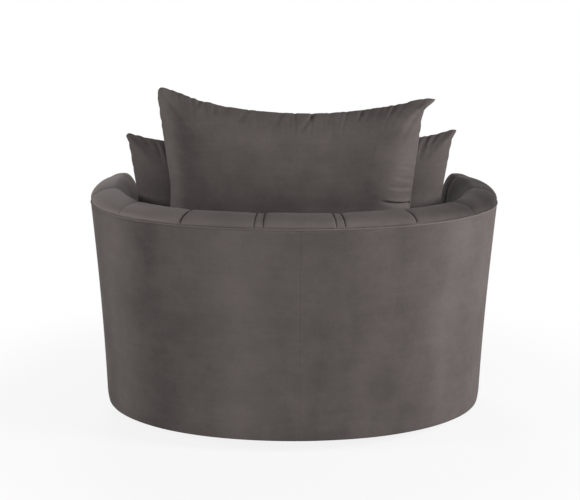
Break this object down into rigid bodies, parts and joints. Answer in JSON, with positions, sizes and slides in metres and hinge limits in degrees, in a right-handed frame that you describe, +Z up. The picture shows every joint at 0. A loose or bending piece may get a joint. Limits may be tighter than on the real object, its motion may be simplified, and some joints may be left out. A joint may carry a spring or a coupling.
{
  "type": "cuddle chair",
  "caption": "Wide oval tub swivel chair in velvet with a tufted inner back that rolls over the rim, a loose seat cushion and loose back pillows.",
  "frame": {"origin": "on the floor at the swivel's axis, under the middle of the chair's width and depth", "axes": "+X to the sitter's left along the chair's width, -Y out of the open front, +Z up"},
  "size_m": [1.2714, 0.9841, 1.056],
  "materials": {
    "velvet": "matte",
    "timber": "matte",
    "black_steel": "satin",
    "zinc_steel": "satin",
    "spring_steel": "satin",
    "glide_plastic": "matte",
    "webbing": "matte",
    "deck_felt": "matte",
    "dust_cloth": "matte"
  },
  "bodies": {
    "base": {"base_ring": "black_steel", "base_cross": "black_steel", "glide_1": "glide_plastic", "glide_2": "glide_plastic", "glide_3": "glide_plastic", "glide_4": "glide_plastic", "glide_5": "glide_plastic", "glide_6": "glide_plastic", "lower_swivel_plate": "zinc_steel", "plate_bolt_1": "zinc_steel", "plate_bolt_2": "zinc_steel", "plate_bolt_3": "zinc_steel", "plate_bolt_4": "zinc_steel", "ball_cage": "zinc_steel", "kingpin_bolt": "zinc_steel", "kingpin_nut": "zinc_steel"},
    "tub": {"upper_swivel_plate": "zinc_steel", "plate_screw_1": "zinc_steel", "plate_screw_2": "zinc_steel", "plate_screw_3": "zinc_steel", "plate_screw_4": "zinc_steel", "cross_rail_left": "timber", "cross_rail_right": "timber", "base_hoop": "timber", "seat_rail_hoop": "timber", "upper_post_1": "timber", "upper_post_2": "timber", "upper_post_3": "timber", "upper_post_4": "timber", "upper_post_5": "timber", "upper_post_6": "timber", "upper_post_7": "timber", "upper_post_8": "timber", "upper_post_9": "timber", "top_rail": "timber", "arm_panel_left": "timber", "arm_panel_right": "timber", "webbing_strap_1": "webbing", "webbing_strap_2": "webbing", "webbing_strap_3": "webbing", "seat_spring_1": "spring_steel", "seat_spring_2": "spring_steel", "seat_spring_3": "spring_steel", "seat_spring_4": "spring_steel", "seat_spring_5": "spring_steel", "deck_pad": "deck_felt", "dust_cover": "dust_cloth", "outer_cover_left": "velvet", "outer_cover_right": "velvet", "front_band_cover": "velvet", "rim_welt": "velvet", "inner_back": "velvet"},
    "seat_cushion": {"seat_cushion": "velvet"},
    "large_back_pillow": {"large_back_pillow": "velvet"},
    "small_pillow_left": {"small_pillow_left": "velvet"},
    "small_pillow_right": {"small_pillow_right": "velvet"}
  },
  "joints": [
    {"name": "swivel", "type": "hinge", "parent": "base", "child": "tub", "pos_m": [0, 0, 0.03], "axis": [0, 0, 1], "continuous": true},
    {"name": "cushion_lift", "type": "slide", "parent": "tub", "child": "seat_cushion", "axis": [0, 0, 1], "range_m": [0, 0.45]},
    {"name": "large_pillow_lift", "type": "slide", "parent": "seat_cushion", "child": "large_back_pillow", "axis": [0, 0.2588, 0.9659], "range_m": [0, 0.3]},
    {"name": "left_pillow_lift", "type": "slide", "parent": "seat_cushion", "child": "small_pillow_left", "axis": [0, 0.2588, 0.9659], "range_m": [0, 0.3]},
    {"name": "right_pillow_lift", "type": "slide", "parent": "seat_cushion", "child": "small_pillow_right", "axis": [0, 0.2588, 0.9659], "range_m": [0, 0.3]}
  ]
}
